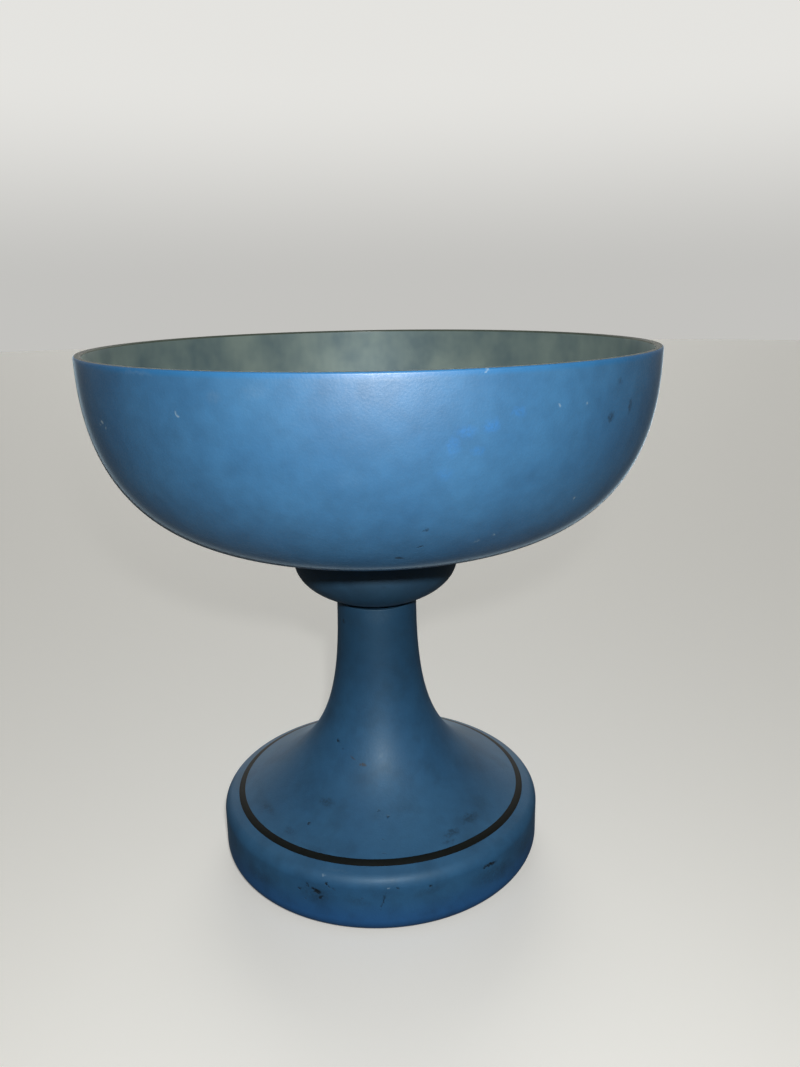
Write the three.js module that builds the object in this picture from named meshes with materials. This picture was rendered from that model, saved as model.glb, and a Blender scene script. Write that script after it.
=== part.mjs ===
// A footed glass bowl. A deep, round bottomed bowl sits on a knop, which is a flattened ball,
// and the knop sits on a hollow trumpet stem that flares into a thick round foot. A narrow black
// band is let into the top of the foot, just inside its shoulder. The three glass pieces are
// turned shapes on one upright axis, held together by two thin clear joints.
//
// Millimetres, +Z up. The origin is on the axis, on the plane that the foot stands on.

import * as THREE from "three";

// Stem and foot, which are one piece of glass
const STEM_HEIGHT = 128.5; // from the table to the flat top of the stem
const STEM_TOP_RADIUS = 19;
const STEM_EDGE_ROUNDING = 1;
const STEM_STRAIGHT = 56.7; // how far the stem's straight line pulls the curve downwards
const FOOT_RADIUS = 78.4;
const SHOULDER_HEIGHT = 27.3; // where the slope and the side would meet in a sharp corner
const SHOULDER_SLOPE = 22.5; // degrees, of the top of the foot
const SHOULDER_ROUNDING = 6;
const FLARE_PULL = 47.1; // how far the slope of the foot pulls the curve inwards
const BASE_ROUNDING = 7.5;

// The hollow inside the stem and foot, open at the table
const SIDE_WALL = 11.5; // round the foot
const SHELL_WALL = 8; // over the foot and up the stem
const HOLLOW_ROUNDING = 5; // inside corner under the shoulder
const STEM_TOP_SOLID = 14; // glass left over the end of the bore
const BORE_END_ROUNDING = 8;

// The black band in the foot
const BAND_RADIUS = 69.9; // to the middle of its width
const BAND_WIDTH = 3.1; // seen from above
const BAND_THICKNESS = 0.55;
const BAND_CLEARANCE = 0.05; // under the band and on both of its sides

// The knop between stem and bowl
const KNOP_RADIUS = 38.5;
const KNOP_HALF_HEIGHT = 21.1; // of the whole ball, before its flats are ground
const KNOP_LOWER_FLAT = 15; // radius
const KNOP_UPPER_FLAT = 32.5; // radius

// The clear joints under and over the knop
const JOINT_THICKNESS = 0.5;
const JOINT_MARGIN = 0.5; // how far a joint stays inside the flat that it holds

// The bowl
const BOWL_RADIUS = 125;
const BOWL_HEIGHT = 87; // from the rim to the lowest point of the curve, before grinding
const BOWL_PAD = 27; // radius of the flat ground under the bowl
const RIM_THICKNESS = 3;
const FLOOR_THICKNESS = 5;
const RIM_ROUNDING = 0.8;
const SIDE_POWER = 3.6; // how square the bowl is: larger keeps the wall upright for longer
const DEPTH_POWER = 2.43;

// Fineness of the solids
const FACETS = 64; // round the axis
const OUTER_STEPS = 17; // along the bowl's outside
const INNER_STEPS = 12; // along the bowl's inside
const FLARE_STEPS = 14; // along the outside of the stem and foot
const HOLLOW_STEPS = 9; // along the inside of the stem and foot
const KNOP_STEPS = 12;
const EDGE_STEPS = 2; // in a small rounded edge
const ROUNDING_STEPS = 5; // in a large one

const point = (r, z) => new THREE.Vector2(r, z);

// Turns a profile of radius and height round the upright axis
function turned(profile) {
  const geometry = new THREE.LatheGeometry(profile, FACETS);
  geometry.rotateX(Math.PI / 2);
  return geometry;
}

// The arc that rounds the corner between two straight runs, with both of its ends
function rounded(before, corner, after, radius, steps) {
  const back = before.clone().sub(corner).normalize();
  const on = after.clone().sub(corner).normalize();
  const half = Math.acos(back.dot(on)) / 2;
  const middle = back.clone().add(on).normalize();
  const centre = corner.clone().addScaledVector(middle, radius / Math.sin(half));
  const from = corner.clone().addScaledVector(back, radius / Math.tan(half)).sub(centre);
  const to = corner.clone().addScaledVector(on, radius / Math.tan(half)).sub(centre);
  const turn = Math.atan2(from.cross(to), from.dot(to));
  const arc = [];
  for (let i = 0; i <= steps; i++) {
    const spoke = from.clone().rotateAround(point(0, 0), (turn * i) / steps);
    arc.push(centre.clone().add(spoke));
  }
  return arc;
}

// The foot's slope, as a height for each radius
const slopeRise = Math.tan(THREE.MathUtils.degToRad(SHOULDER_SLOPE));
const slopeHeight = (r) => SHOULDER_HEIGHT + (FOOT_RADIUS - r) * slopeRise;

// The stem's outline flows into the slope just outside the black band
const bandInner = BAND_RADIUS - BAND_WIDTH / 2;
const bandOuter = BAND_RADIUS + BAND_WIDTH / 2;
const flareEnd = point(bandOuter, slopeHeight(bandOuter));
const slopeBack = point(-1, slopeRise).normalize();
const flare = new THREE.CubicBezierCurve(
  point(STEM_TOP_RADIUS, STEM_HEIGHT),
  point(STEM_TOP_RADIUS, STEM_HEIGHT - STEM_STRAIGHT),
  flareEnd.clone().addScaledVector(slopeBack, FLARE_PULL),
  flareEnd
);

// The place along the flare that has a given radius, found by halving
function placeOnFlare(radius) {
  let low = 0;
  let high = 1;
  for (let i = 0; i < 50; i++) {
    const middle = (low + high) / 2;
    if (flare.getPoint(middle).x < radius) low = middle;
    else high = middle;
  }
  return high;
}

// A point a given depth under the flare's surface
function underFlare(place, depth) {
  const along = flare.getTangent(place);
  return flare.getPoint(place).add(point(along.y, -along.x).multiplyScalar(depth));
}

// The groove that the band lies in, from its outer edge to its inner edge
function grooveProfile() {
  const depth = BAND_THICKNESS + BAND_CLEARANCE;
  const inner = placeOnFlare(bandInner);
  return [flareEnd, underFlare(1, depth), underFlare(inner, depth), flare.getPoint(inner)];
}

// From the groove up the flare to the stem's rounded top edge
function stemProfile() {
  const start = placeOnFlare(bandInner);
  const edge = point(STEM_TOP_RADIUS, STEM_HEIGHT);
  const run = [];
  for (let i = 1; i < FLARE_STEPS; i++) {
    const here = flare.getPoint(start * (1 - i / FLARE_STEPS));
    if (here.y < STEM_HEIGHT - 2 * STEM_EDGE_ROUNDING) run.push(here);
  }
  const below = point(STEM_TOP_RADIUS, STEM_HEIGHT - STEM_STRAIGHT);
  const axis = point(0, STEM_HEIGHT);
  return [...run, ...rounded(below, edge, axis, STEM_EDGE_ROUNDING, EDGE_STEPS), axis];
}

// From the table up the foot's side and over its shoulder
function footSideProfile() {
  const base = point(FOOT_RADIUS, 0);
  const corner = point(FOOT_RADIUS, SHOULDER_HEIGHT);
  return [
    ...rounded(point(0, 0), base, corner, BASE_ROUNDING, ROUNDING_STEPS),
    ...rounded(base, corner, flareEnd, SHOULDER_ROUNDING, ROUNDING_STEPS),
  ];
}

// From the end of the bore down the inside of the stem and foot to the table
function hollowProfile() {
  const boreRadius = STEM_TOP_RADIUS - SHELL_WALL;
  const boreEnd = STEM_HEIGHT - STEM_TOP_SOLID;
  const corner = point(boreRadius, boreEnd);
  const top = rounded(
    point(0, boreEnd), corner, point(boreRadius, 0), BORE_END_ROUNDING, ROUNDING_STEPS
  );
  const run = [];
  for (let i = 1; i <= HOLLOW_STEPS; i++) {
    const here = underFlare(i / HOLLOW_STEPS, SHELL_WALL);
    if (here.y < boreEnd - 2 * BORE_END_ROUNDING) run.push(here);
  }
  // The hollow's slope runs under the foot's slope and meets its upright wall
  const wall = FOOT_RADIUS - SIDE_WALL;
  const clear = run.filter((p) => p.x < wall - 2 * HOLLOW_ROUNDING);
  const last = clear[clear.length - 1];
  const offset = SHELL_WALL / Math.cos(THREE.MathUtils.degToRad(SHOULDER_SLOPE));
  const bend = point(wall, slopeHeight(wall) - offset);
  const floor = point(wall, 0);
  return [
    point(0, boreEnd), ...top, ...clear,
    ...rounded(last, bend, floor, HOLLOW_ROUNDING, ROUNDING_STEPS), floor,
  ];
}

function stemAndFoot() {
  return turned([...hollowProfile(), ...footSideProfile(), ...grooveProfile(), ...stemProfile()]);
}

// A flat ring that fills the groove, flush with the foot
function blackBand() {
  const inner = placeOnFlare(bandInner + BAND_CLEARANCE);
  const outer = placeOnFlare(bandOuter - BAND_CLEARANCE);
  const start = underFlare(outer, BAND_THICKNESS);
  return turned([
    start, flare.getPoint(outer), flare.getPoint(inner), underFlare(inner, BAND_THICKNESS),
    start.clone(),
  ]);
}

// The distance from the ball's middle to a flat of a given radius
const flatDistance = (radius) => KNOP_HALF_HEIGHT * Math.sqrt(1 - (radius / KNOP_RADIUS) ** 2);
const knopHeight = flatDistance(KNOP_LOWER_FLAT) + flatDistance(KNOP_UPPER_FLAT);

// A flattened ball with its lower flat at height 0
function knop() {
  const low = -Math.acos(KNOP_LOWER_FLAT / KNOP_RADIUS);
  const high = Math.acos(KNOP_UPPER_FLAT / KNOP_RADIUS);
  const middle = flatDistance(KNOP_LOWER_FLAT);
  const profile = [point(0, 0), point(KNOP_LOWER_FLAT, 0)];
  for (let i = 1; i < KNOP_STEPS; i++) {
    const angle = low + ((high - low) * i) / KNOP_STEPS;
    profile.push(
      point(KNOP_RADIUS * Math.cos(angle), middle + KNOP_HALF_HEIGHT * Math.sin(angle))
    );
  }
  profile.push(point(KNOP_UPPER_FLAT, knopHeight), point(0, knopHeight));
  return turned(profile);
}

// The thin clear disc that holds two flats together, kept inside the smaller one
function jointDisc(flatRadius) {
  const radius = flatRadius - JOINT_MARGIN;
  return turned([
    point(0, 0), point(radius, 0), point(radius, JOINT_THICKNESS), point(0, JOINT_THICKNESS),
  ]);
}

// One side of the bowl's wall, from its lowest point up to the start of the rim's rounding.
// Radius and depth follow (r / radius)^SIDE_POWER + (d / depth)^DEPTH_POWER = 1, where d is
// counted down from the rim.
function bowlCurve(radius, depth, fromRadius, rim, steps) {
  const first = Math.acos((fromRadius / radius) ** (SIDE_POWER / 2));
  const last = Math.asin((RIM_ROUNDING / depth) ** (DEPTH_POWER / 2));
  const curve = [];
  for (let i = 0; i <= steps; i++) {
    const angle = first + ((last - first) * i) / steps;
    const out = Math.max(0, Math.cos(angle)) ** (2 / SIDE_POWER);
    const down = Math.sin(angle) ** (2 / DEPTH_POWER);
    curve.push(point(radius * out, rim - depth * down));
  }
  return curve;
}

// How far the ground flat is above the lowest point of the bowl's curve
const padLift =
  BOWL_HEIGHT * (1 - (1 - (BOWL_PAD / BOWL_RADIUS) ** SIDE_POWER) ** (1 / DEPTH_POWER));

// The bowl, with the flat ground under it at height 0
function bowl() {
  const rim = BOWL_HEIGHT - padLift;
  const innerRadius = BOWL_RADIUS - RIM_THICKNESS;
  const innerDepth = BOWL_HEIGHT - FLOOR_THICKNESS;
  const outerEdge = point(BOWL_RADIUS, rim);
  const innerEdge = point(innerRadius, rim);
  const outside = bowlCurve(BOWL_RADIUS, BOWL_HEIGHT, BOWL_PAD, rim, OUTER_STEPS);
  const inside = bowlCurve(innerRadius, innerDepth, 0, rim, INNER_STEPS).reverse();
  outside[0].y = 0;
  outside.pop();
  inside.shift();
  return turned([
    point(0, 0),
    ...outside,
    ...rounded(point(BOWL_RADIUS, 0), outerEdge, innerEdge, RIM_ROUNDING, EDGE_STEPS),
    ...rounded(outerEdge, innerEdge, point(innerRadius, 0), RIM_ROUNDING, EDGE_STEPS),
    ...inside,
  ]);
}

// Finishes, one for each piece
const satinBlue = (color) =>
  new THREE.MeshStandardMaterial({ color, roughness: 0.42, metalness: 0 });
const clearJoint = () =>
  new THREE.MeshStandardMaterial({ color: 0xb9c4bd, roughness: 0.15, metalness: 0 });
const enamelBlack = new THREE.MeshStandardMaterial({
  color: 0x141a15, roughness: 0.5, metalness: 0,
});

const footedBowl = new THREE.Group();

// Stands a piece on the axis with its own zero height at the given height
function stand(name, geometry, material, height) {
  const mesh = new THREE.Mesh(geometry, material);
  mesh.name = name;
  mesh.position.z = height;
  footedBowl.add(mesh);
}

// The pieces from the table upwards, each standing on the one before
const knopBase = STEM_HEIGHT + JOINT_THICKNESS;
const knopTop = knopBase + knopHeight;
const bowlBase = knopTop + JOINT_THICKNESS;

stand("stem_and_foot", stemAndFoot(), satinBlue(0x2b5a86), 0);
stand("black_band", blackBand(), enamelBlack, 0);
stand("stem_joint", jointDisc(KNOP_LOWER_FLAT), clearJoint(), STEM_HEIGHT);
stand("knop", knop(), satinBlue(0x2d5783), knopBase);
stand("bowl_joint", jointDisc(BOWL_PAD), clearJoint(), knopTop);
stand("bowl", bowl(), satinBlue(0x4b86b4), bowlBase);

export default footedBowl;
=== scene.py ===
# %% [markdown]
# # A footed bowl in satin blue glass
#
# The object is a deep round bowl on a flattened ball, on a trumpet stem that flares into a thick
# round foot. Everything on it was turned, blown or ground round one upright axis, so almost every
# piece here is a profile, a line of points in one upright plane, spun round that axis.
#
# The construction model is loaded first. It gives the size and place of every piece, and the
# finished pieces made below take the place of its plain solids.

# %% Load the construction model
import math

import bmesh
import bpy
from mathutils import Matrix, Vector


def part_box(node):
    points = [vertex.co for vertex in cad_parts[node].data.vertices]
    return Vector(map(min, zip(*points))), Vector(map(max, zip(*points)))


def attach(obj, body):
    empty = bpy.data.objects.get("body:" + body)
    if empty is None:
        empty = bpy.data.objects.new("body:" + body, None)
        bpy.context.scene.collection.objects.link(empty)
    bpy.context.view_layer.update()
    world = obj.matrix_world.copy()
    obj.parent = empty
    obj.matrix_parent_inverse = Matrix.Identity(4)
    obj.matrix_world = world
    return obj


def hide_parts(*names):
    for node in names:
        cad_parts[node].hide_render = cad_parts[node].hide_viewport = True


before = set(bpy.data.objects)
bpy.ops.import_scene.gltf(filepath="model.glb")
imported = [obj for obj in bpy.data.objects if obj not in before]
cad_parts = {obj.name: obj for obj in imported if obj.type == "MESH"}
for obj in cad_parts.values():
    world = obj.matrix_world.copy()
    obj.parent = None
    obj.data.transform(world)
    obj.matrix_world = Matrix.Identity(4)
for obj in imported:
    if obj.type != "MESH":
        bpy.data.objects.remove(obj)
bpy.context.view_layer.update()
MM = 0.001
print("pieces in the construction model:", sorted(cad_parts))

# %% [markdown]
# ## Sizes
#
# Blender works in metres here, and glass is measured in millimetres, so small sizes are written
# as a number of millimetres times MM. The large sizes are read from the construction model. The
# small ones, such as roundings, are the ones a glass cutter would write on a drawing.

# %% Main sizes from the construction model
def size_of(node):
    """Radius, lowest height and highest height of a turned piece."""
    low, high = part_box(node)
    return (high[0] - low[0]) / 2, low[2], high[2]


RIM_RADIUS, BOWL_BASE, RIM_HEIGHT = size_of("bowl")
KNOP_RADIUS, KNOP_BASE, KNOP_TOP = size_of("knop")
FOOT_RADIUS, FOOT_BASE, STEM_TOP = size_of("stem_and_foot")
BOWL_JOINT_RADIUS, BOWL_JOINT_LOW, BOWL_JOINT_HIGH = size_of("bowl_joint")
STEM_JOINT_RADIUS, STEM_JOINT_LOW, STEM_JOINT_HIGH = size_of("stem_joint")
print(f"rim {RIM_RADIUS / MM:.1f} mm radius at {RIM_HEIGHT / MM:.1f} mm")

# %% [markdown]
# ## Spinning a profile
#
# A lathe turns the work against a tool that follows a profile. bmesh's spin operator does the
# same: it sweeps a chain of edges round an axis. The points on the axis all land on one spot, so
# doubles are merged afterwards, which closes both poles. Corners sharper than a limit are marked
# sharp, so that flats stay crisp while the curves shade smoothly.

# %% The lathe
ROUND_STEPS = 192
SHARP_CORNER = math.radians(35)
SAME_SPOT = 0.001 * MM


def in_scene(name, data):
    """A new object in the scene that shows a mesh, a lamp or a camera."""
    thing = bpy.data.objects.new(name, data)
    bpy.context.scene.collection.objects.link(thing)
    return thing


def turned(name, profile, closed_ring=False):
    """A smooth turned piece from (radius, height) points. A ring's profile closes on itself."""
    bm = bmesh.new()
    chain = [bm.verts.new((radius, 0, height)) for radius, height in profile]
    edges = [bm.edges.new(pair) for pair in zip(chain, chain[1:])]
    if closed_ring:
        edges.append(bm.edges.new((chain[-1], chain[0])))
    bmesh.ops.spin(
        bm, geom=chain + edges, cent=(0, 0, 0), axis=(0, 0, 1),
        angle=2 * math.pi, steps=ROUND_STEPS, use_merge=True,
    )
    bmesh.ops.remove_doubles(bm, verts=bm.verts, dist=SAME_SPOT)
    bmesh.ops.recalc_face_normals(bm, faces=bm.faces)
    mesh = bpy.data.meshes.new(name)
    bm.to_mesh(mesh)
    bm.free()
    mesh.shade_smooth()
    mesh.set_sharp_from_angle(angle=SHARP_CORNER)
    print(f"{name}: {len(mesh.polygons)} faces")
    return in_scene(name, mesh)


def stands_for(piece, node):
    """The piece takes a construction node's place, hiding that node, and rides with the rest."""
    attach(piece, "root")
    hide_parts(node)


# %% [markdown]
# ## Roundings
#
# Nothing on real glass has a knife edge, because a sharp edge chips. Each edge is ground or fire
# polished to a small round, which is also what catches the light as a thin bright line. This
# helper gives the arc that rounds a corner of a profile.

# %% A rounded corner
def rounded(before, corner, after, radius, steps=8):
    """Points of the arc that rounds the corner between two straight runs of a profile."""
    before, corner, after = Vector(before), Vector(corner), Vector(after)
    back = (before - corner).normalized()
    onward = (after - corner).normalized()
    half = back.angle(onward) / 2
    centre = corner + (back + onward).normalized() * radius / math.sin(half)
    start = corner + back * radius / math.tan(half) - centre
    end = corner + onward * radius / math.tan(half) - centre
    turn = start.angle_signed(end)
    arc = []
    for step in range(steps + 1):
        angle = math.atan2(start.y, start.x) - turn * step / steps
        arc.append(centre + radius * Vector((math.cos(angle), math.sin(angle))))
    return [tuple(point) for point in arc]


print("points in a rounded corner:", len(rounded((0, 1), (1, 1), (1, 0), radius=0.5)))

# %% [markdown]
# ## The bowl
#
# The bowl was blown into a mould: a wall that stays upright for a while below the rim, then turns
# in over a broad curve to an almost flat floor. A superellipse draws that curve with two powers,
# one for how long the side stays upright and one for how flat the floor is. The wall is 3 mm
# thick at the rim and 5 mm in the floor, and a small flat is ground under the floor for the joint.

# %% The bowl's profile
SIDE_POWER = 3.6
DEPTH_POWER = 2.43
BOWL_DEPTH = 87 * MM
PAD_RADIUS = 27 * MM
RIM_THICKNESS = 3 * MM
FLOOR_THICKNESS = 5 * MM
RIM_ROUNDING = 0.9 * MM


def bowl_curve(radius, depth, start_radius, steps):
    """One side of the wall, from the floor up to where the rim's rounding starts."""
    first = math.acos((start_radius / radius) ** (SIDE_POWER / 2))
    last = math.asin((RIM_ROUNDING / depth) ** (DEPTH_POWER / 2))
    curve = []
    for step in range(steps + 1):
        angle = first + (last - first) * step / steps
        out = max(0.0, math.cos(angle)) ** (2 / SIDE_POWER)
        down = math.sin(angle) ** (2 / DEPTH_POWER)
        curve.append((radius * out, RIM_HEIGHT - depth * down))
    return curve


def bowl_profile():
    """The whole wall, from the axis under the floor over the rim to the axis inside."""
    inner_radius = RIM_RADIUS - RIM_THICKNESS
    outer_edge, inner_edge = (RIM_RADIUS, RIM_HEIGHT), (inner_radius, RIM_HEIGHT)
    outside = bowl_curve(RIM_RADIUS, BOWL_DEPTH, PAD_RADIUS, steps=90)
    inside = bowl_curve(inner_radius, BOWL_DEPTH - FLOOR_THICKNESS, 0, steps=80)
    outside[0] = (PAD_RADIUS, BOWL_BASE)
    return (
        [(0, BOWL_BASE)]
        + outside[:-1]
        + rounded((RIM_RADIUS, 0), outer_edge, inner_edge, RIM_ROUNDING)
        + rounded(outer_edge, inner_edge, (inner_radius, 0), RIM_ROUNDING)
        + inside[-2::-1]
    )


bowl = turned("blown_bowl", bowl_profile())
stands_for(bowl, "bowl")

# %% [markdown]
# The bowl has three surfaces: the satin outside, the bare polished rim and the dark lustre inside.
# Where a face looks tells which it is: the outside looks outwards and down, the inside looks
# inwards and up, and the rim is what lies above the start of its rounding. The satin goes a little
# way round the outer edge, up to the faces that look less than 20 degrees outwards.

# %% Sort the bowl's faces into outside, rim and inside
OUTSIDE, RIM, INSIDE = 0, 1, 2
SATIN_STOPS = math.sin(math.radians(20))


def surface_of(face):
    """The number of the finish that a face gets."""
    outwards = face.normal.xy.dot(face.center.xy) / face.center.xy.length
    if face.center.z > RIM_HEIGHT - RIM_ROUNDING and outwards < SATIN_STOPS:
        return RIM
    return INSIDE if outwards < 0 or (face.normal.z > 0 and outwards < SATIN_STOPS) else OUTSIDE


for face in bowl.data.polygons:
    face.material_index = surface_of(face)
counts = [sum(f.material_index == s for f in bowl.data.polygons) for s in (OUTSIDE, RIM, INSIDE)]
print("faces outside, on the rim and inside:", counts)

# %% [markdown]
# ## The knop
#
# A knop is the swelling in the stem of a glass. This one is a ball pressed flat, about half as
# high as it is wide, with a flat ground on top for the bowl and one below for the stem. An ellipse
# cut off at the two flats is its whole profile.

# %% Turn the knop
KNOP_HALF_HEIGHT = 21.1 * MM
KNOP_LOWER_FLAT = 15 * MM
KNOP_UPPER_FLAT = 32.5 * MM


def knop_profile(steps=56):
    """From the lower flat round the ellipse to the upper flat."""
    low = -math.acos(KNOP_LOWER_FLAT / KNOP_RADIUS)
    high = math.acos(KNOP_UPPER_FLAT / KNOP_RADIUS)
    middle = KNOP_BASE - KNOP_HALF_HEIGHT * math.sin(low)
    curve = []
    for step in range(steps + 1):
        angle = low + (high - low) * step / steps
        curve.append((KNOP_RADIUS * math.cos(angle), middle + KNOP_HALF_HEIGHT * math.sin(angle)))
    return [(0, KNOP_BASE)] + curve + [(0, KNOP_TOP)]


knop = turned("pressed_knop", knop_profile())
stands_for(knop, "knop")

# %% [markdown]
# ## The stem and foot
#
# The stem runs down almost straight, then flares out like a trumpet and flows into the sloping
# top of the foot. A cubic Bezier curve has just that character: its first handle keeps it upright
# and its last one lays it along the slope. The shoulder and the lower edge are broad roundings,
# and a shallow groove just inside the shoulder holds the black line.

# %% The outside of the stem and foot
STEM_TOP_RADIUS = 19 * MM
STEM_STRAIGHT = 56.7 * MM
STEM_EDGE_ROUNDING = 0.35 * MM
SHOULDER_HEIGHT = 27.3 * MM
SHOULDER_SLOPE = math.radians(22.5)
SHOULDER_ROUNDING = 6 * MM
FLARE_PULL = 47.1 * MM
BASE_ROUNDING = 7.5 * MM
BAND_RADIUS = 69.9 * MM
BAND_WIDTH = 3.1 * MM
BAND_THICKNESS = 0.55 * MM
BAND_CLEARANCE = 0.05 * MM
HALVINGS = 40

band_inner = BAND_RADIUS - BAND_WIDTH / 2
band_outer = BAND_RADIUS + BAND_WIDTH / 2
flare_end = Vector(
    (band_outer, SHOULDER_HEIGHT + (FOOT_RADIUS - band_outer) * math.tan(SHOULDER_SLOPE))
)
flare_handles = (
    Vector((STEM_TOP_RADIUS, STEM_TOP)),
    Vector((STEM_TOP_RADIUS, STEM_TOP - STEM_STRAIGHT)),
    flare_end + FLARE_PULL * Vector((-math.cos(SHOULDER_SLOPE), math.sin(SHOULDER_SLOPE))),
    flare_end,
)


def flare(place, depth=0.0):
    """A point of the flare, 0 at the stem's top and 1 at the shoulder, sunk by a depth."""
    a, b, c, d = flare_handles
    rest = 1 - place
    point = rest**3 * a + 3 * rest**2 * place * b + 3 * rest * place**2 * c + place**3 * d
    along = rest**2 * (b - a) + 2 * rest * place * (c - b) + place**2 * (d - c)
    inwards = Vector((along.y, -along.x)).normalized()
    return tuple(point + depth * inwards)


def place_at_radius(radius):
    """Where the flare has that radius, found by halving."""
    low, high = 0.0, 1.0
    for _ in range(HALVINGS):
        middle = (low + high) / 2
        low, high = (middle, high) if flare(middle)[0] < radius else (low, middle)
    return high


def foot_outside(steps=70):
    """From the base up the side, over the shoulder and the groove, to the top of the stem."""
    groove_depth = BAND_THICKNESS + BAND_CLEARANCE
    base, shoulder = (FOOT_RADIUS, FOOT_BASE), (FOOT_RADIUS, SHOULDER_HEIGHT)
    inner = place_at_radius(band_inner)
    top_edge, axis_top = (STEM_TOP_RADIUS, STEM_TOP), (0, STEM_TOP)
    return (
        rounded((0, FOOT_BASE), base, shoulder, BASE_ROUNDING, steps=16)
        + rounded(base, shoulder, tuple(flare_end), SHOULDER_ROUNDING, steps=16)
        + [flare(1), flare(1, groove_depth), flare(inner, groove_depth)]
        + [flare(inner * (1 - step / steps)) for step in range(steps - 1)]
        + rounded((STEM_TOP_RADIUS, 0), top_edge, axis_top, STEM_EDGE_ROUNDING)
        + [axis_top]
    )


print(f"the flare ends at {flare_end.x / MM:.1f} mm radius and {flare_end.y / MM:.1f} mm height")

# %% [markdown]
# Glass this thick is left hollow, because a solid foot would crack as it cooled. The hollow is
# open below. It follows the outside 8 mm below the surface and ends as a rounded bore a
# little under the top of the stem.

# %% The hollow, and the whole piece
SIDE_WALL = 11.5 * MM
SHELL_WALL = 8 * MM
HOLLOW_ROUNDING = 5 * MM
STEM_TOP_SOLID = 14 * MM
BORE_END_ROUNDING = 8 * MM
# How far the flare's points keep from the two roundings that they lead to
BORE_END_ROOM = 1.2 * BORE_END_ROUNDING
CORNER_ROOM = 1.5 * HOLLOW_ROUNDING


def foot_hollow(steps=40):
    """From the end of the bore down the inside to the base."""
    bore_radius = STEM_TOP_RADIUS - SHELL_WALL
    bore_end = STEM_TOP - STEM_TOP_SOLID
    wall = FOOT_RADIUS - SIDE_WALL
    end = rounded((0, bore_end), (bore_radius, bore_end), (bore_radius, 0), BORE_END_ROUNDING)
    run = [flare(step / steps, SHELL_WALL) for step in range(1, steps + 1)]
    run = [p for p in run if p[1] < bore_end - BORE_END_ROOM]
    run = [p for p in run if p[0] < wall - CORNER_ROOM]
    slope_height = SHOULDER_HEIGHT + (FOOT_RADIUS - wall) * math.tan(SHOULDER_SLOPE)
    bend = (wall, slope_height - SHELL_WALL / math.cos(SHOULDER_SLOPE))
    floor = (wall, FOOT_BASE)
    return [(0, bore_end)] + end + run + rounded(run[-1], bend, floor, HOLLOW_ROUNDING) + [floor]


stem_and_foot = turned("trumpet_stem_and_foot", foot_hollow() + foot_outside())
stands_for(stem_and_foot, "stem_and_foot")

# %% [markdown]
# ## The black line
#
# A line of black enamel, about 3 mm wide, runs round the foot. Enamel is powdered glass that is
# painted on and fired until it melts. Here it is a thin ring in its groove, a hair proud in the
# middle, as a brushed line of paint stands.

# %% Turn the black line
BAND_CROWN = 0.08 * MM


def band_profile(steps=8):
    """A closed section: the flat bottom of the groove, and a crowned top along the flare."""
    inner = place_at_radius(band_inner + BAND_CLEARANCE)
    outer = place_at_radius(band_outer - BAND_CLEARANCE)
    top = []
    for step in range(steps + 1):
        across = step / steps
        crown = BAND_CROWN * math.sin(math.pi * across)
        top.append(flare(outer + (inner - outer) * across, -crown))
    return [flare(outer, BAND_THICKNESS)] + top + [flare(inner, BAND_THICKNESS)]


black_line = turned("enamel_line", band_profile(), closed_ring=True)
stands_for(black_line, "black_band")

# %% [markdown]
# ## The joints
#
# The knop is held to the stem and to the bowl by a film of clear adhesive half a millimetre
# thick. Capillary pull leaves its edge hollow, like the edge of a drop between two panes.

# %% Turn the two joints
def joint(name, radius, low, high, steps=8):
    """A thin disc whose edge is drawn in between its two faces."""
    hollow = (high - low) / 2
    edge = []
    for step in range(steps + 1):
        angle = math.pi * step / steps
        edge.append((radius - hollow * math.sin(angle), (low + high) / 2 - hollow * math.cos(angle)))
    return turned(name, [(0, low)] + edge + [(0, high)])


bowl_joint = joint("bowl_joint_film", BOWL_JOINT_RADIUS, BOWL_JOINT_LOW, BOWL_JOINT_HIGH)
stem_joint = joint("stem_joint_film", STEM_JOINT_RADIUS, STEM_JOINT_LOW, STEM_JOINT_HIGH)
stands_for(bowl_joint, "bowl_joint")
stands_for(stem_joint, "stem_joint")

# %% [markdown]
# ## Building materials
#
# A material is a small tree of nodes. Two helpers keep the trees short: one turns a colour as it
# is written on screen, in sRGB hex, into the linear numbers that Blender mixes, and one adds a
# node with its settings and its links in a single call. A node can itself be an input of the next
# one, and then its first output in use is linked.

# %% Colour and node helpers
def colour(hex_code):
    """sRGB hex, such as "4A7AA5", to linear RGBA."""
    channels = [int(hex_code[i:i + 2], 16) / 255 for i in (0, 2, 4)]
    linear = [c / 12.92 if c <= 0.04045 else ((c + 0.055) / 1.055) ** 2.4 for c in channels]
    return (*linear, 1.0)


def add(tree, kind, inputs=None, **settings):
    """Adds a node. Each input is set to a value, or linked where it is a socket or a node."""
    node = tree.nodes.new(kind)
    for name, value in settings.items():
        setattr(node, name, value)
    for socket, value in (inputs or {}).items():
        if isinstance(value, bpy.types.Node):
            value = next(output for output in value.outputs if output.enabled)
        if isinstance(value, bpy.types.NodeSocket):
            tree.links.new(value, node.inputs[socket])
        else:
            node.inputs[socket].default_value = value
    return node


def new_material(name):
    """An empty material, its tree, and the object coordinates that every pattern uses."""
    material = bpy.data.materials.new(name)
    material.use_nodes = True
    tree = material.node_tree
    tree.nodes.clear()
    place = add(tree, "ShaderNodeTexCoord").outputs["Object"]
    return material, tree, place


def per(size):
    """Noise scale that repeats about once in that size, in metres."""
    return 1 / size


print("a mid blue in linear light:", [round(c, 3) for c in colour("4A7AA5")[:3]])

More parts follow.
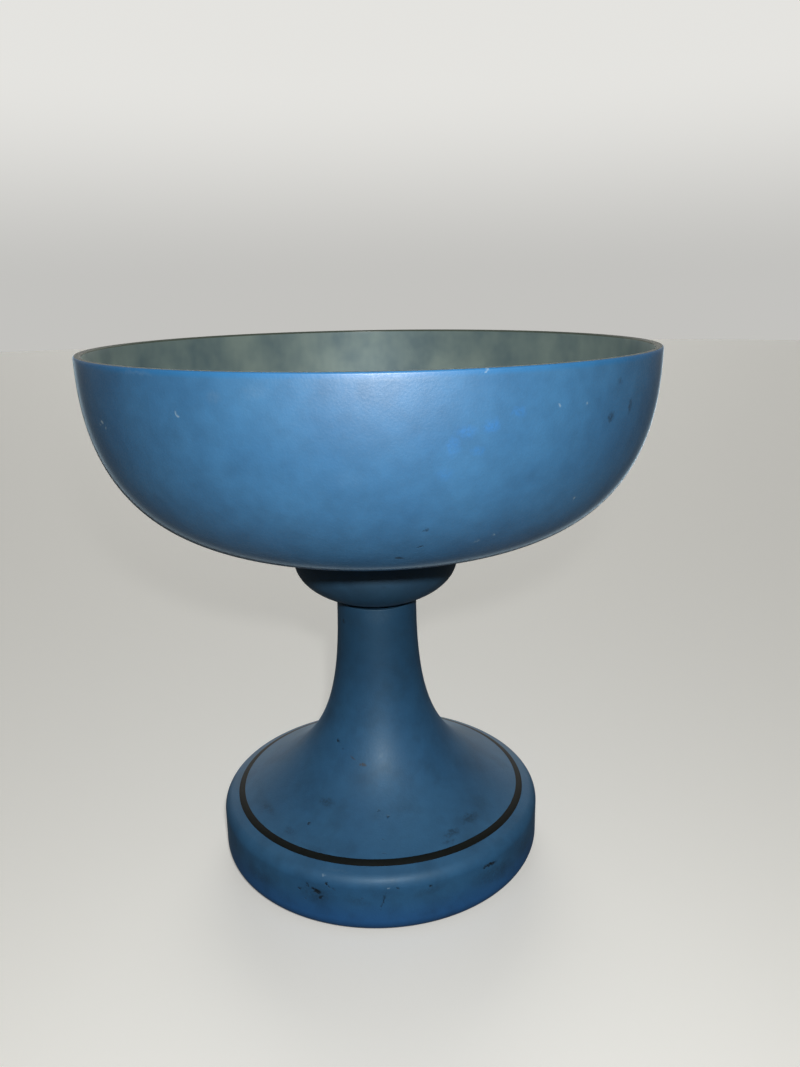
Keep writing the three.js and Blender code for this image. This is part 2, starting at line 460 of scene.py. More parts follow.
# %% [markdown]
# ## Marks of use
#
# A bowl that has been used for years has nicks, specks and rubbed spots. Each mark in the lists
# below is given the way one would find it on the object: the angle round from the front, the
# height, the length, the width, the tilt and how strongly it shows. A Mapping node moves the
# mark's centre to zero and stretches it to a unit ball, so one distance tells how far inside the
# mark a point is. A little noise in the coordinates makes its edge ragged, and a finer noise lets
# some of the skin show through, because dirt and wear never cover a spot evenly.

# %% Placing marks
EDGE_GRAIN = 2.2 * MM
EDGE_WANDER = 3.4 * MM
BROKEN_GRAIN = 1.1 * MM
# Where a mark starts to fade and where it ends, in parts of its half length and half width
MARK_FADES, MARK_ENDS = 0.3, 1.4
# The span of the finer noise, and how strong a mark is at either end of it
BROKEN_LOW, BROKEN_HIGH = 0.38, 0.58
THINNEST, THICKEST = 0.45, 1.1


def radius_at(profile, height):
    """The outermost radius of a profile at a height."""
    widest = 0.0
    for (r0, z0), (r1, z1) in zip(profile, profile[1:]):
        if min(z0, z1) <= height <= max(z0, z1) and z0 != z1:
            widest = max(widest, r0 + (r1 - r0) * (height - z0) / (z1 - z0))
    return widest


def marks_mask(tree, place, profile, marks):
    """1 inside any of the marks and 0 outside, fading over their edges."""
    grain = add(tree, "ShaderNodeTexNoise", {"Vector": place, "Scale": per(EDGE_GRAIN), "Detail": 5.0})
    offset = add(tree, "ShaderNodeVectorMath", {
        0: grain.outputs["Color"], 1: (0.5, 0.5, 0.5),
    }, operation="SUBTRACT")
    ragged = add(tree, "ShaderNodeVectorMath", {
        0: offset, 1: (EDGE_WANDER, EDGE_WANDER, EDGE_WANDER), 2: place,
    }, operation="MULTIPLY_ADD")
    total = 0.0
    for angle, height, length, width, tilt, strength in marks:
        turn = math.radians(angle)
        radius = radius_at(profile, height * MM)
        local = add(tree, "ShaderNodeMapping", {
            "Vector": ragged,
            "Location": (radius * math.sin(turn), -radius * math.cos(turn), height * MM),
            "Rotation": (0, math.radians(tilt), turn),
            "Scale": (length * MM / 2, width * MM / 2, width * MM / 2),
        }, vector_type="TEXTURE")
        distance = add(tree, "ShaderNodeVectorMath", {0: local}, operation="LENGTH")
        inside = add(tree, "ShaderNodeMapRange", {
            "Value": distance, "From Min": MARK_FADES, "From Max": MARK_ENDS,
            "To Min": strength, "To Max": 0.0,
        }, interpolation_type="SMOOTHSTEP")
        total = add(tree, "ShaderNodeMath", {0: total, 1: inside}, operation="MAXIMUM")
    specks = add(tree, "ShaderNodeTexNoise", {
        "Vector": place, "Scale": per(BROKEN_GRAIN), "Detail": 3.0,
    })
    broken = add(tree, "ShaderNodeMapRange", {
        "Value": specks, "From Min": BROKEN_LOW, "From Max": BROKEN_HIGH,
        "To Min": THINNEST, "To Max": THICKEST,
    })
    return add(tree, "ShaderNodeMath", {0: total, 1: broken}, operation="MULTIPLY")


print(f"bowl radius at 200 mm height, for its marks: {radius_at(bowl_profile(), 200 * MM) / MM:.1f} mm")

# %% [markdown]
# The foot carries the most marks, because it is knocked and wiped round. Nicks are cut into the
# surface and have gone dark with dirt. Stains and smudges lie on it, and three faint pale marks at
# the front are painted highlights.

# %% Marks on the foot and stem
# Angle from the front in degrees, height, length and width in mm, tilt in degrees, strength
FOOT_NICKS = [
    (-22, 20, 4.5, 2.2, 24, 1.3), (-18, 24, 2.4, 1.0, 50, 1.2), (-16, 22, 2.0, 1.1, 35, 0.9),
    (-26, 14.5, 1.8, 0.9, 18, 0.8), (-25, 22, 2.6, 1.2, 62, 1.0), (-20.5, 17, 2.6, 1.2, -30, 0.9),
    (-28, 18.5, 2.0, 1.0, 20, 0.8), (-7, 19.5, 1.8, 1.0, 0, 0.8), (0, 18, 9.0, 0.9, -72, 0.9),
    (4.5, 23.5, 1.6, 1.0, 0, 0.8), (15, 22, 2.2, 1.1, 10, 0.8), (37.5, 22, 8.0, 2.0, 6, 1.4),
    (-43, 63.5, 2.2, 1.7, 0, 0.95), (-35, 61.5, 1.3, 0.9, 26, 0.6), (-35, 36.5, 2.2, 1.2, -40, 0.95),
    (3, 41, 2.1, 1.8, 0, 0.8), (-1.5, 42.5, 1.2, 1.0, 0, 0.6), (0.5, 35.5, 3.5, 0.7, 38, 0.5),
    (0.5, 32.5, 4.5, 0.7, 30, 0.5), (-57, 120, 1.4, 2.2, 0, 0.7),
]
FOOT_STAINS = [(-14, 57, 3.8, 1.8, 18, 0.9), (-23, 59, 7.0, 0.8, 21, 0.6)]
FOOT_SMUDGES = [
    (-32, 43, 9.0, 4.0, 0, 0.5), (-41, 33.5, 7.0, 3.5, 0, 0.4), (-60, 34.5, 12.0, 4.0, 0, 0.35),
    (42, 35, 12.0, 5.0, 15, 0.6), (30, 34, 10.0, 3.5, -10, 0.6), (27, 32.5, 7.0, 2.4, 4, 0.45),
    (-22, 18, 16.0, 9.0, 0, 0.35), (-45, 15, 22.0, 7.0, -6, 0.3), (40, 16, 26.0, 9.0, 4, 0.35),
    (-8, 17, 12.0, 4.0, 10, 0.25), (14, 20, 14.0, 3.5, -8, 0.25), (-28, 32, 16.0, 3.0, 6, 0.3),
    (58, 17, 20.0, 10.0, 0, 0.35),
]
# The faint pale streak up the front of the stem, the patch under its top and the streak along the front
# of the shoulder are painted highlights; the two small specks are pale dust
FOOT_PALE_SPECKS_AND_HIGHLIGHTS = [
    (0.5, 60.5, 9.0, 1.6, 90, 0.08), (-19.5, 27.5, 1.1, 0.9, 0, 0.4), (1.5, 24, 1.1, 0.9, 0, 0.5),
    (1, 125, 13.0, 7.0, 0, 0.02), (-16, 29, 14.0, 2.0, 0, 0.03),
]
foot_marks = FOOT_NICKS + FOOT_STAINS + FOOT_SMUDGES + FOOT_PALE_SPECKS_AND_HIGHLIGHTS
print("marks on the foot and stem:", len(foot_marks))

# %% [markdown]
# The bowl and the knop are cleaner: a few dark spots low down and on the right, pale specks of
# dust and lime, and patches where handling has left the blue a little brighter.

# %% Marks on the bowl and knop
BOWL_NICKS = [
    (5, 178.5, 4.0, 2.2, 20, 0.9), (8.5, 184, 2.6, 1.4, -20, 0.6), (9, 192, 2.6, 1.4, -20, 0.5),
]
BOWL_SMUDGES = [
    (43, 226.5, 4.5, 4.0, 0, 0.7), (49, 229, 2.4, 6.0, 0, 0.6), (44.5, 238.5, 3.5, 2.6, 0, 0.4),
]
BOWL_BRIGHT_BLUE = [
    (18, 228.5, 6.0, 5.0, 0, 0.65), (14, 227, 7.0, 4.5, 0, 0.55), (12, 222.5, 5.0, 7.0, 0, 0.5),
    (16, 220.5, 5.0, 4.0, 0, 0.45), (22.5, 232.5, 6.0, 4.0, 0, 0.45), (11, 213, 6.0, 4.5, 0, 0.3),
]
BOWL_PALE_RUBS = [
    (-17, 241, 9.0, 5.0, 0, 0.04), (-24, 239, 6.0, 4.0, 0, 0.05), (-4, 212, 12.0, 7.0, 0, 0.02),
    (-39, 245.6, 16.0, 1.6, 0, 0.12), (-53, 226, 1.6, 1.4, 0, 1.2), (-54, 224.5, 1.4, 1.2, 0, 1.1),
    (-52, 224, 1.3, 1.2, 0, 1.0), (-31, 232.5, 2.2, 1.0, 52, 0.7), (30, 233.5, 1.6, 1.3, 0, 0.9),
    (36, 232.5, 1.5, 1.2, 0, 0.8), (39.5, 196.5, 1.6, 1.5, 0, 1.3), (23, 186.5, 1.5, 1.3, 0, 0.9),
    (20, 184.5, 1.5, 1.3, 0, 0.8), (17, 246.2, 1.8, 0.9, 0, 0.7),
]
KNOP_NICKS = [(5, 146, 1.3, 1.1, 0, 0.6), (5.5, 137.5, 1.3, 1.0, 0, 0.5), (-3, 150, 1.3, 0.9, 0, 0.6)]
KNOP_SMUDGES = [(-37, 140, 7.0, 3.0, 0, 0.35)]
bowl_marks = BOWL_NICKS + BOWL_SMUDGES + BOWL_BRIGHT_BLUE + BOWL_PALE_RUBS
print("marks on the bowl:", len(bowl_marks), "and on the knop:", len(KNOP_NICKS + KNOP_SMUDGES))

# %% [markdown]
# ## Satin blue glass
#
# The outside is glass that was given a satin skin by acid. Acid leaves a surface of tiny pits that
# scatter the light, so there is no mirror image in it, only a broad soft sheen. Hands and cloths
# polish it unevenly, which shows as clouds of slightly different blue and gloss. The pits
# themselves are hundredths of a millimetre, too fine to see in a picture this size, so they are
# drawn as coarse as a grain of sugar and very shallow. They make the sheen sparkle.

# %% The blue, its clouds, grime and pits
DIRT, SMUDGE, STAIN = "0C1B28", "22384B", "4A3C2C"
# The pale tone is dust on the bowl and in the sheen, and a painted highlight in the foot's faint pale
# marks
PALE_DUST_AND_HIGHLIGHT, BRIGHT_BLUE = "B9D3E2", "3C8AD2"
CLOUD_SIZE = 38 * MM
MOTTLE_SIZE = 7 * MM
GRIME_SIZE = 13 * MM
PIT_SIZE = 0.9 * MM
PIT_DEPTH = 0.07 * MM
NICK_DEPTH = 0.25 * MM
# Most of a noise lies in this span, and each finer layer of it has this share of the last one
CLOUD_LOW, CLOUD_HIGH = 0.3, 0.7
FINER_SHARE = 0.55
MOTTLE = 0.08
GRIME_STARTS, GRIME_FULL = 0.5, 0.72


def clouded_blue(tree, place, clouds, deep, middle):
    """Two blues in soft clouds, with a fine mottle of a few parts in a hundred."""
    cloudy = add(tree, "ShaderNodeMapRange", {
        "Value": clouds, "From Min": CLOUD_LOW, "From Max": CLOUD_HIGH,
    })
    skin = add(tree, "ShaderNodeMix", {
        "Factor": cloudy, "A": colour(deep), "B": colour(middle),
    }, data_type="RGBA")
    lumps = add(tree, "ShaderNodeTexNoise", {
        "Vector": place, "Scale": per(MOTTLE_SIZE), "Detail": 3.0, "Roughness": FINER_SHARE,
    })
    mottle = add(tree, "ShaderNodeMapRange", {
        "Value": lumps, "From Min": CLOUD_LOW, "From Max": CLOUD_HIGH,
        "To Min": 1 - MOTTLE, "To Max": 1 + MOTTLE,
    })
    return add(tree, "ShaderNodeVectorMath", {0: skin, 1: mottle}, operation="MULTIPLY")


def grimy(tree, place, skin, amount):
    """Soft dark clouds where grease and dust have settled into the satin."""
    lumps = add(tree, "ShaderNodeTexNoise", {
        "Vector": place, "Scale": per(GRIME_SIZE), "Detail": 6.0, "Roughness": FINER_SHARE,
    })
    mask = add(tree, "ShaderNodeMapRange", {
        "Value": lumps, "From Min": GRIME_STARTS, "From Max": GRIME_FULL, "To Max": amount,
    })
    return add(tree, "ShaderNodeMix", {
        "Factor": mask, "A": skin, "B": colour(SMUDGE),
    }, data_type="RGBA")


def pitted(tree, pits, nicks):
    """The surface's bump: shallow pits all over, and the nicks cut in deeper."""
    skin = add(tree, "ShaderNodeBump", {"Height": pits, "Strength": 1.0, "Distance": PIT_DEPTH})
    depth = add(tree, "ShaderNodeMath", {0: 1.0, 1: nicks}, operation="SUBTRACT")
    return add(tree, "ShaderNodeBump", {
        "Height": depth, "Strength": 1.0, "Distance": NICK_DEPTH, "Normal": skin,
    })


print(f"clouds of {CLOUD_SIZE / MM:.0f} mm, mottle of {MOTTLE_SIZE / MM:.0f} mm")

# %% [markdown]
# Two things change the blue by place. Dust settles on what faces up, and a painted sheen lies on those
# faces where they catch the light, so the slope of the foot is greyer than its side; a mask from the
# surface's upright normal puts both there. Other shades go by height: a painted glow brightens the blue
# just under the edge, for the light that enters the bare rim and travels down inside the glass; a
# painted shade darkens the stem up towards the knop and the bowl over it; and the foot's side turns a
# brighter blue near its base.

# %% Dust with painted sheen, and shades by height
# A grey-blue that is partly dust and partly a painted sheen, on the faces that look up
DUST_AND_SHEEN = "4C6C7C"
# How far up a face looks where the dust and its painted sheen start, and where they are full
DUST_AND_SHEEN_STARTS, DUST_AND_SHEEN_FULL = 0.1, 0.95


def dusted_and_sheened(tree, skin, amount):
    """Grey dust on the faces that look up, with a painted sheen where they catch the light."""
    normal = add(tree, "ShaderNodeNewGeometry").outputs["Normal"]
    upright = add(tree, "ShaderNodeSeparateXYZ", {0: normal}).outputs["Z"]
    mask = add(tree, "ShaderNodeMapRange", {
        "Value": upright, "From Min": DUST_AND_SHEEN_STARTS, "From Max": DUST_AND_SHEEN_FULL, "To Max": amount,
    })
    return add(tree, "ShaderNodeMix", {
        "Factor": mask, "A": skin, "B": colour(DUST_AND_SHEEN),
    }, data_type="RGBA")


def shaded(tree, place, skin, tint, clear, full, amount):
    """Blends in a tint from the height where it is clear to the height where it is full."""
    height = add(tree, "ShaderNodeSeparateXYZ", {0: place}).outputs["Z"]
    mask = add(tree, "ShaderNodeMapRange", {
        "Value": height, "From Min": clear, "From Max": full, "To Max": amount,
    }, interpolation_type="SMOOTHSTEP")
    return add(tree, "ShaderNodeMix", {
        "Factor": mask, "A": skin, "B": colour(tint),
    }, data_type="RGBA")


print(f"dust lies in full on faces within {math.degrees(math.acos(DUST_AND_SHEEN_FULL)):.0f} degrees of level")

# %% [markdown]
# The material puts these together. Its shine has two parts: a broad sheen from the pits, and a
# fainter, tighter one on top, a coat, where the satin has been rubbed smoother by cloths. Only the
# high spots between the pits were rubbed, so the coat comes and goes with the grain and sparkles.
# The finest dust stands on the pits and shows only where one looks along the surface, so the
# sheen inputs of the shader draw it as a thin pale line round the outline.

# %% The satin material
RUBBED_ROUGHNESS = 0.39
HAZE_ROUGHNESS = 0.15
# The span of the pits' noise over which the rubbing grows, and its share at either end
PIT_LOW, PIT_HIGH = 0.42, 0.66
LEAST_RUBBED, MOST_RUBBED = 0.7, 1.8


def satin_blue(name, blues, gloss, sheen, rubbed, haze, sheen_tint, profile, nicks, layers, shades,
               dust, grime):
    """Acid satin glass. Layers are (marks, tint) pairs, shades (tint, clear, full, amount)."""
    material, tree, place = new_material(name)
    clouds = add(tree, "ShaderNodeTexNoise", {
        "Vector": place, "Scale": per(CLOUD_SIZE), "Detail": 4.0, "Roughness": FINER_SHARE,
    })
    pits = add(tree, "ShaderNodeTexNoise", {
        "Vector": place, "Scale": per(PIT_SIZE), "Detail": 4.0, "Roughness": FINER_SHARE,
    })
    skin = clouded_blue(tree, place, clouds, *blues)
    for shade in shades:
        skin = shaded(tree, place, skin, *shade)
    # Dust, and a painted sheen, on the faces that look up
    if dust:
        skin = dusted_and_sheened(tree, skin, dust)
    skin = grimy(tree, place, skin, grime)
    cut = marks_mask(tree, place, profile, nicks)
    masks = [(marks_mask(tree, place, profile, marks), tint) for marks, tint in layers]
    for mask, tint in masks + [(cut, DIRT)]:
        skin = add(tree, "ShaderNodeMix", {
            "Factor": mask, "A": skin, "B": colour(tint),
        }, data_type="RGBA")
    roughness = add(tree, "ShaderNodeMapRange", {
        "Value": clouds, "From Min": CLOUD_LOW, "From Max": CLOUD_HIGH,
        "To Min": gloss[0], "To Max": gloss[1],
    })
    sparkle = add(tree, "ShaderNodeMapRange", {
        "Value": pits, "From Min": PIT_LOW, "From Max": PIT_HIGH,
        "To Min": LEAST_RUBBED * rubbed, "To Max": MOST_RUBBED * rubbed,
    })
    shader = add(tree, "ShaderNodeBsdfPrincipled", {
        "Base Color": skin, "Roughness": roughness, "IOR": 1.5,
        "Specular IOR Level": sheen, "Specular Tint": colour(sheen_tint),
        "Coat Weight": sparkle, "Coat Roughness": RUBBED_ROUGHNESS, "Coat IOR": 1.5,
        "Sheen Weight": haze, "Sheen Roughness": HAZE_ROUGHNESS, "Sheen Tint": colour(PALE_DUST_AND_HIGHLIGHT),
        "Normal": pitted(tree, pits, cut),
    })
    add(tree, "ShaderNodeOutputMaterial", {"Surface": shader})
    return material


# %% [markdown]
# The three blue pieces share this recipe and differ in its amounts. The bowl was handled most, so
# it is most rubbed. The knop's and the foot's blues are darker than the bowl's, in part a painted
# shade: the light falls off lower down, and the knop sits under the bowl, where no hand reaches, so
# it is hardly rubbed. The foot has dust and a painted sheen on its slope.

# %% The three satin finishes
bowl_satin = satin_blue(
    "acid_satin_blue_glass_bowl", blues=("3E7AAB", "4787B8"), gloss=(0.47, 0.55),
    sheen=1.0, rubbed=0.66, haze=0.5, sheen_tint="FFFFFF", profile=bowl_profile(), nicks=BOWL_NICKS,
    layers=[(BOWL_BRIGHT_BLUE, BRIGHT_BLUE), (BOWL_SMUDGES, SMUDGE), (BOWL_PALE_RUBS, PALE_DUST_AND_HIGHLIGHT)],
    # Painted glow: a brighter blue just under the rim, for the light that enters the bare rim and
    # lights the blue below the edge
    shades=[("2F86C6", RIM_HEIGHT - 2.8 * MM, RIM_HEIGHT - 0.8 * MM, 0.8)],
    dust=0.0, grime=0.1,
)
# The knop's darker blues are in part a painted shade under the bowl
knop_satin = satin_blue(
    "acid_satin_blue_glass_knop", blues=("27465F", "2D526C"), gloss=(0.5, 0.58),
    sheen=0.75, rubbed=0.08, haze=0.05, sheen_tint="E0EEF2", profile=knop_profile(), nicks=KNOP_NICKS,
    layers=[(KNOP_SMUDGES, SMUDGE)], shades=[], dust=0.2, grime=0.2,
)
# The foot's darker blues are in part a painted shade for the light falling off lower down
foot_satin = satin_blue(
    "acid_satin_blue_glass_foot", blues=("2E6390", "38719E"), gloss=(0.52, 0.58),
    sheen=0.85, rubbed=0.1, haze=0.05, sheen_tint="C4E0EA", profile=foot_outside(), nicks=FOOT_NICKS,
    layers=[(FOOT_SMUDGES, SMUDGE), (FOOT_STAINS, STAIN), (FOOT_PALE_SPECKS_AND_HIGHLIGHTS, PALE_DUST_AND_HIGHLIGHT)],
    # The first shade turns the side a brighter blue near the base; the second is a painted shade that
    # darkens the stem up towards the knop and the bowl
    shades=[("2B69AD", 20 * MM, 4 * MM, 0.75), ("1E4058", 50 * MM, 115 * MM, 0.72)],
    dust=0.2, grime=0.28,
)
print("satin blue glass:", bowl_satin.name, knop_satin.name, foot_satin.name)

# %% [markdown]
# ## Dark lustre
#
# The inside was coated with a metal lustre, a film of metal laid down by firing. It is a dim
# grey-green, blurred mirror. The film is never quite even: it has soft clouds, and faint streaks
# that run up the wall. Hands and cloths have worn it duller near the rim, while the depth of the
# bowl has kept its gloss.

# %% Dark lustre
STREAK_WIDTH = 14 * MM
STREAK_LENGTH = 90 * MM
STREAK_SHARE = 0.35
LUSTRE_CLOUD = 26 * MM
# The span of clouds and streaks together over which the film turns from its dark to its pale tone
FILM_DARK, FILM_PALE = 0.5, 0.85
WORN_FROM = RIM_HEIGHT - 50 * MM
WORN_TO = RIM_HEIGHT - 22 * MM
DEEP_ROUGHNESS = 0.18
WORN_ROUGHNESS = 0.52


def dark_lustre():
    """The inside of the bowl."""
    material, tree, place = new_material("fired_grey_green_metal_lustre")
    upright = add(tree, "ShaderNodeMapping", {
        "Vector": place, "Scale": (per(STREAK_WIDTH), per(STREAK_WIDTH), per(STREAK_LENGTH)),
    })
    streaks = add(tree, "ShaderNodeTexNoise", {
        "Vector": upright, "Scale": 1.0, "Detail": 3.0, "Roughness": FINER_SHARE,
    })
    clouds = add(tree, "ShaderNodeTexNoise", {
        "Vector": place, "Scale": per(LUSTRE_CLOUD), "Detail": 3.0, "Roughness": FINER_SHARE,
    })
    uneven = add(tree, "ShaderNodeMath", {
        0: streaks, 1: STREAK_SHARE, 2: clouds,
    }, operation="MULTIPLY_ADD")
    pale = add(tree, "ShaderNodeMapRange", {
        "Value": uneven, "From Min": FILM_DARK, "From Max": FILM_PALE,
    })
    tone = add(tree, "ShaderNodeMix", {
        "Factor": pale, "A": colour("799094"), "B": colour("A1B4AD"),
    }, data_type="RGBA")
    height = add(tree, "ShaderNodeSeparateXYZ", {0: place}).outputs["Z"]
    roughness = add(tree, "ShaderNodeMapRange", {
        "Value": height, "From Min": WORN_FROM, "From Max": WORN_TO,
        "To Min": DEEP_ROUGHNESS, "To Max": WORN_ROUGHNESS,
    }, interpolation_type="SMOOTHSTEP")
    shader = add(tree, "ShaderNodeBsdfPrincipled", {
        "Base Color": tone, "Metallic": 0.2, "Roughness": roughness,
    })
    add(tree, "ShaderNodeOutputMaterial", {"Surface": shader})
    return material


print(f"the lustre is worn above {WORN_TO / MM:.0f} mm and glossy below {WORN_FROM / MM:.0f} mm")

# %% [markdown]
# ## Bare polished rim
#
# The satin skin and the lustre both stop at the rim, which was ground flat and polished after
# they were on. There one sees the glass itself, which is dark and a little green, because light
# runs down into the wall and does not come back.

# %% Bare polished glass, and the bowl's three finishes
RIM_CLOUD = 14 * MM


def polished_rim():
    """The bare edge of the wall."""
    material, tree, place = new_material("ground_and_polished_clear_glass_rim")
    clouds = add(tree, "ShaderNodeTexNoise", {
        "Vector": place, "Scale": per(RIM_CLOUD), "Detail": 3.0, "Roughness": FINER_SHARE,
    })
    tone = add(tree, "ShaderNodeMix", {
        "Factor": clouds, "A": colour("5E6A5F"), "B": colour("757F72"),
    }, data_type="RGBA")
    shader = add(tree, "ShaderNodeBsdfPrincipled", {
        "Base Color": tone, "Roughness": 0.25, "IOR": 1.52, "Specular IOR Level": 0.3,
    })
    add(tree, "ShaderNodeOutputMaterial", {"Surface": shader})
    return material


for finish in (bowl_satin, polished_rim(), dark_lustre()):
    bowl.data.materials.append(finish)
knop.data.materials.append(knop_satin)
stem_and_foot.data.materials.append(foot_satin)
print("finishes on the bowl:", [m.name for m in bowl.data.materials])

# %% [markdown]
# ## Black enamel and clear adhesive
#
# The enamel is a dull olive black with the shallow lumps that a brush leaves. The adhesive is
# clear, but all that one sees of it is a thin grey-green edge between two dark pieces, so a glossy
# surface of that colour stands for it.

# %% Black enamel and clear adhesive
BRUSH_GRAIN = 2.5 * MM
BRUSH_DEPTH = 0.05 * MM
ADHESIVE_CLOUD = 4 * MM


def black_enamel():
    """The black line."""
    material, tree, place = new_material("fired_black_enamel")
    grain = add(tree, "ShaderNodeTexNoise", {
        "Vector": place, "Scale": per(BRUSH_GRAIN), "Detail": 3.0,
    })
    tone = add(tree, "ShaderNodeMix", {
        "Factor": grain, "A": colour("070B09"), "B": colour("151B17"),
    }, data_type="RGBA")
    bump = add(tree, "ShaderNodeBump", {
        "Height": grain, "Strength": 0.4, "Distance": BRUSH_DEPTH,
    })
    shader = add(tree, "ShaderNodeBsdfPrincipled", {
        "Base Color": tone, "Roughness": 0.55, "Specular IOR Level": 0.35, "Normal": bump,
    })
    add(tree, "ShaderNodeOutputMaterial", {"Surface": shader})
    return material


def clear_adhesive():
    """The two films."""
    material, tree, place = new_material("clear_cured_adhesive")
    clouds = add(tree, "ShaderNodeTexNoise", {
        "Vector": place, "Scale": per(ADHESIVE_CLOUD), "Detail": 2.0,
    })
    tone = add(tree, "ShaderNodeMix", {
        "Factor": clouds, "A": colour("5F6E6E"), "B": colour("7C8A88"),
    }, data_type="RGBA")
    shader = add(tree, "ShaderNodeBsdfPrincipled", {
        "Base Color": tone, "Roughness": 0.15, "IOR": 1.5,
    })
    add(tree, "ShaderNodeOutputMaterial", {"Surface": shader})
    return material


black_line.data.materials.append(black_enamel())
adhesive = clear_adhesive()
for film in (bowl_joint, stem_joint):
    film.data.materials.append(adhesive)
print("small finishes:", [m.name for m in black_line.data.materials], adhesive.name)

# %% [markdown]
# ## Floor
#
# The bowl stands on a plain pale floor. The floor shows the camera a pale tone of its own, and
# keeps the shadow on it. To all other rays it is darker, so that it throws little light up on the
# foot and lays no bright patch in the gloss.

# %% Floor
FLOOR_RADIUS = 4.0
FLOOR_PALE, FLOOR_DARK = "E4E3DE", "5A5956"
# How bright the floor's pale tone is, straight to the camera and in a reflection
FLOOR_SEEN = 0.36
FLOOR_SEEN_IN_GLOSS = 0.02


def seen_rays(tree):
    """1 for the rays that show a thing: straight to the camera, in a reflection or through glass."""
    path = add(tree, "ShaderNodeLightPath")
    seen = path.outputs["Is Camera Ray"]
    for ray in ("Is Glossy Ray", "Is Transmission Ray"):
        seen = add(tree, "ShaderNodeMath", {0: seen, 1: path.outputs[ray]}, operation="MAXIMUM")
    return seen


def pale_floor_paint():
    """Pale to the camera, dark to the light that bounces."""
    material, tree, place = new_material("matt_pale_floor_paint")
    straight = add(tree, "ShaderNodeLightPath").outputs["Is Camera Ray"]
    tone = add(tree, "ShaderNodeMix", {
        "Factor": straight, "A": colour(FLOOR_DARK), "B": colour(FLOOR_PALE),
    }, data_type="RGBA")
    paleness = add(tree, "ShaderNodeMix", {
        "Factor": straight, "A": FLOOR_SEEN_IN_GLOSS, "B": FLOOR_SEEN,
    })
    shown = add(tree, "ShaderNodeMath", {0: seen_rays(tree), 1: paleness}, operation="MULTIPLY")
    shader = add(tree, "ShaderNodeBsdfPrincipled", {
        "Base Color": tone, "Roughness": 0.8,
        "Emission Color": colour(FLOOR_PALE), "Emission Strength": shown,
    })
    add(tree, "ShaderNodeOutputMaterial", {"Surface": shader})
    return material


def pale_floor():
    """A round disc, so that no corner of it shows from any side."""
    bm = bmesh.new()
    bmesh.ops.create_circle(bm, cap_ends=True, segments=ROUND_STEPS, radius=FLOOR_RADIUS)
    mesh = bpy.data.meshes.new("pale_floor")
    bm.to_mesh(mesh)
    bm.free()
    mesh.materials.append(pale_floor_paint())
    return in_scene("pale_floor", mesh)


pale_floor()
print(f"a round floor, {2 * FLOOR_RADIUS:.0f} m across")

# %% [markdown]
# ## World
#
# The world adds a low even light, and a soft bright patch behind the object, like a wide screen,
# that lights its back. Looked at directly, the world is a pale wall that darkens towards the
# horizon, where it meets the floor's tone. In reflections it is a dim room with a paler wall
# behind the object.

# %% World
FILL_LIGHT = 0.1
BACK_LIGHT = 5.5
BACK_LIGHT_RISE = math.radians(9)
# Cosines of the angle from the middle of the patch, where it starts and where it is full
BACK_LIGHT_STARTS, BACK_LIGHT_FULL = 0.88, 0.97
SEEN_WALL = 0.8
SEEN_HORIZON = 0.56
# How far up one looks, as a sine, where the wall's tone is reached
WALL_RISE = 0.2
GLOSS_WALL = 0.3
GLOSS_ROOM = 0.06
# How far back a reflection looks, as a cosine, where the wall starts and where it is full
GLOSS_STARTS, GLOSS_FULL = 0.2, 0.95


def pale_world():
    """One tone for the rays that light the scene, and another for those that show the world."""
    world = bpy.data.worlds.new("pale_room")
    bpy.context.scene.world = world
    world.use_nodes = True
    tree = world.node_tree
    tree.nodes.clear()
    way = add(tree, "ShaderNodeTexCoord").outputs["Generated"]
    direction = add(tree, "ShaderNodeSeparateXYZ", {0: way})
    behind = add(tree, "ShaderNodeVectorMath", {
        0: way, 1: (0, math.cos(BACK_LIGHT_RISE), math.sin(BACK_LIGHT_RISE)),
    }, operation="DOT_PRODUCT")
    light = add(tree, "ShaderNodeMapRange", {
        "Value": behind, "From Min": BACK_LIGHT_STARTS, "From Max": BACK_LIGHT_FULL,
        "To Min": FILL_LIGHT, "To Max": BACK_LIGHT,
    }, interpolation_type="SMOOTHSTEP")
    lit = add(tree, "ShaderNodeBackground", {"Color": colour("F4F2EC"), "Strength": light})
    seen_wall = add(tree, "ShaderNodeMapRange", {
        "Value": direction.outputs["Z"], "From Min": 0.0, "From Max": WALL_RISE,
        "To Min": SEEN_HORIZON, "To Max": SEEN_WALL,
    }, interpolation_type="SMOOTHSTEP")
    mirrored = add(tree, "ShaderNodeMapRange", {
        "Value": direction.outputs["Y"], "From Min": GLOSS_STARTS, "From Max": GLOSS_FULL,
        "To Min": GLOSS_ROOM, "To Max": GLOSS_WALL,
    }, interpolation_type="SMOOTHSTEP")
    straight = add(tree, "ShaderNodeLightPath").outputs["Is Camera Ray"]
    strength = add(tree, "ShaderNodeMix", {"Factor": straight, "A": mirrored, "B": seen_wall})
    shown = add(tree, "ShaderNodeBackground", {"Color": colour("FCFBF7"), "Strength": strength})
    mix = add(tree, "ShaderNodeMixShader", {0: seen_rays(tree), 1: lit, 2: shown})
    add(tree, "ShaderNodeOutputWorld", {"Surface": mix})


pale_world()
print("fill light", FILL_LIGHT, "back light", BACK_LIGHT, "pale wall", SEEN_WALL)

# %% [markdown]
# ## Lamp
#
# One small round panel hangs close above the camera and a little to the right, as the photograph
# was lit from the camera. That is what draws the broad sheen on the front of the bowl and leaves
# the top of the knop in the bowl's shadow.

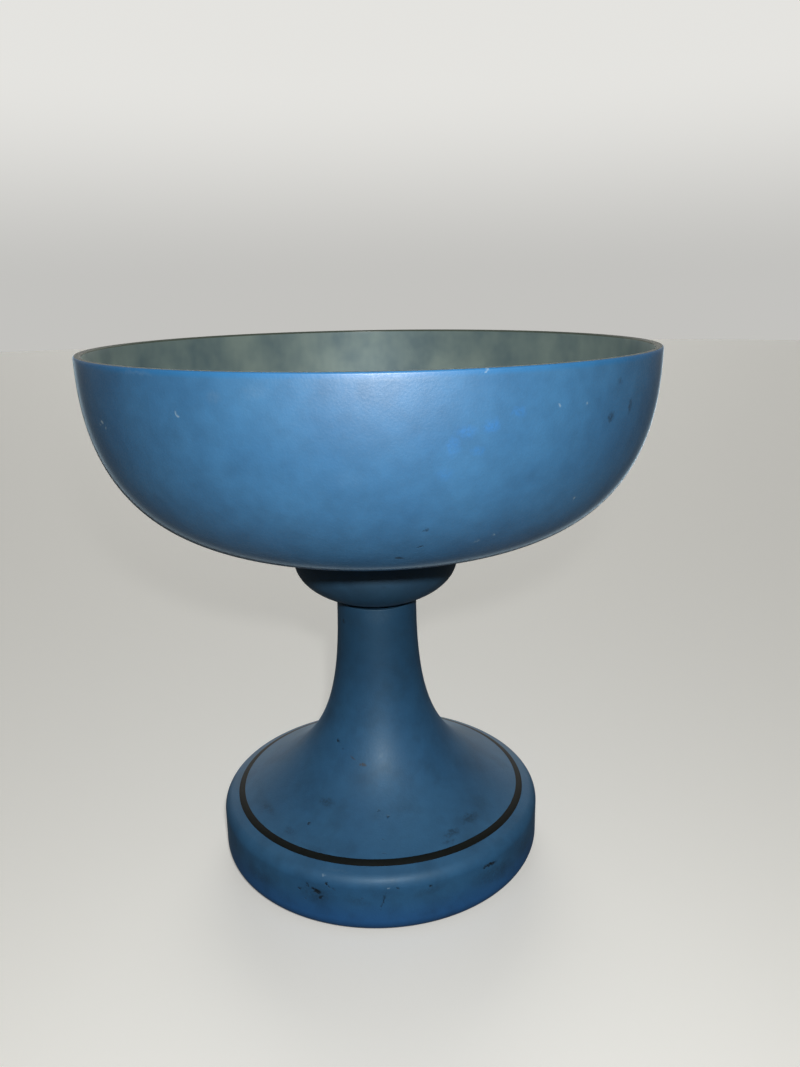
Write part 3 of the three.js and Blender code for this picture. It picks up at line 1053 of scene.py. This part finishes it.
# %% Lamp
LAMP_PLACE = Vector((0.018, -0.41, 0.319))
LAMP_AIM = Vector((0, 0, 0.15))
LAMP_SIZE = 0.02
LAMP_WATTS = 1.15


def round_panel(name):
    """A round soft lamp that faces its aim."""
    lamp = bpy.data.lights.new(name, "AREA")
    lamp.shape = "DISK"
    lamp.size = LAMP_SIZE
    lamp.energy = LAMP_WATTS
    facing = (LAMP_AIM - LAMP_PLACE).to_track_quat("-Z", "Y")
    holder = in_scene(name, lamp)
    holder.matrix_world = Matrix.Translation(LAMP_PLACE) @ facing.to_matrix().to_4x4()
    return holder


print("lamp:", round_panel("front_panel").name, LAMP_WATTS, "watts")

# %% [markdown]
# ## Camera
#
# The camera's place and lens come from fitting a pinhole camera to the edges of the object in
# the photograph: it stood 40 cm in front of the axis and 27 cm above the foot's base, turned right
# by under two degrees, tipped down 16 degrees, and leaned just under one degree.

# %% Camera at the photograph's viewpoint
CAMERA_DISTANCE = 399.06 * MM
CAMERA_HEIGHT = 273.33 * MM
TIPPED_DOWN = math.radians(15.914)
TURNED_RIGHT = math.radians(1.68)
LEANED = math.radians(-0.896)
SENSOR_MM = 36.0
FOCAL_PIXELS = 880.5
IMAGE_WIDTH, IMAGE_HEIGHT = 800, 1067
NEAREST_SEEN = 10 * MM


def photo_camera():
    """Turned as a tripod's head: round the upright axis, then up or down, then leaned."""
    camera = bpy.data.cameras.new("photo_camera")
    camera.sensor_width = SENSOR_MM
    camera.lens = FOCAL_PIXELS * SENSOR_MM / max(IMAGE_WIDTH, IMAGE_HEIGHT)
    camera.clip_start = NEAREST_SEEN
    holder = in_scene("photo_camera", camera)
    holder.matrix_world = (
        Matrix.Translation((0, -CAMERA_DISTANCE, CAMERA_HEIGHT))
        @ Matrix.Rotation(-TURNED_RIGHT, 4, "Z")
        @ Matrix.Rotation(math.pi / 2 - TIPPED_DOWN, 4, "X")
        @ Matrix.Rotation(LEANED, 4, "Z")
    )
    bpy.context.scene.camera = holder
    return camera


print(f"lens {photo_camera().lens:.2f} mm")
bpy.context.scene.view_settings.view_transform = "Standard"
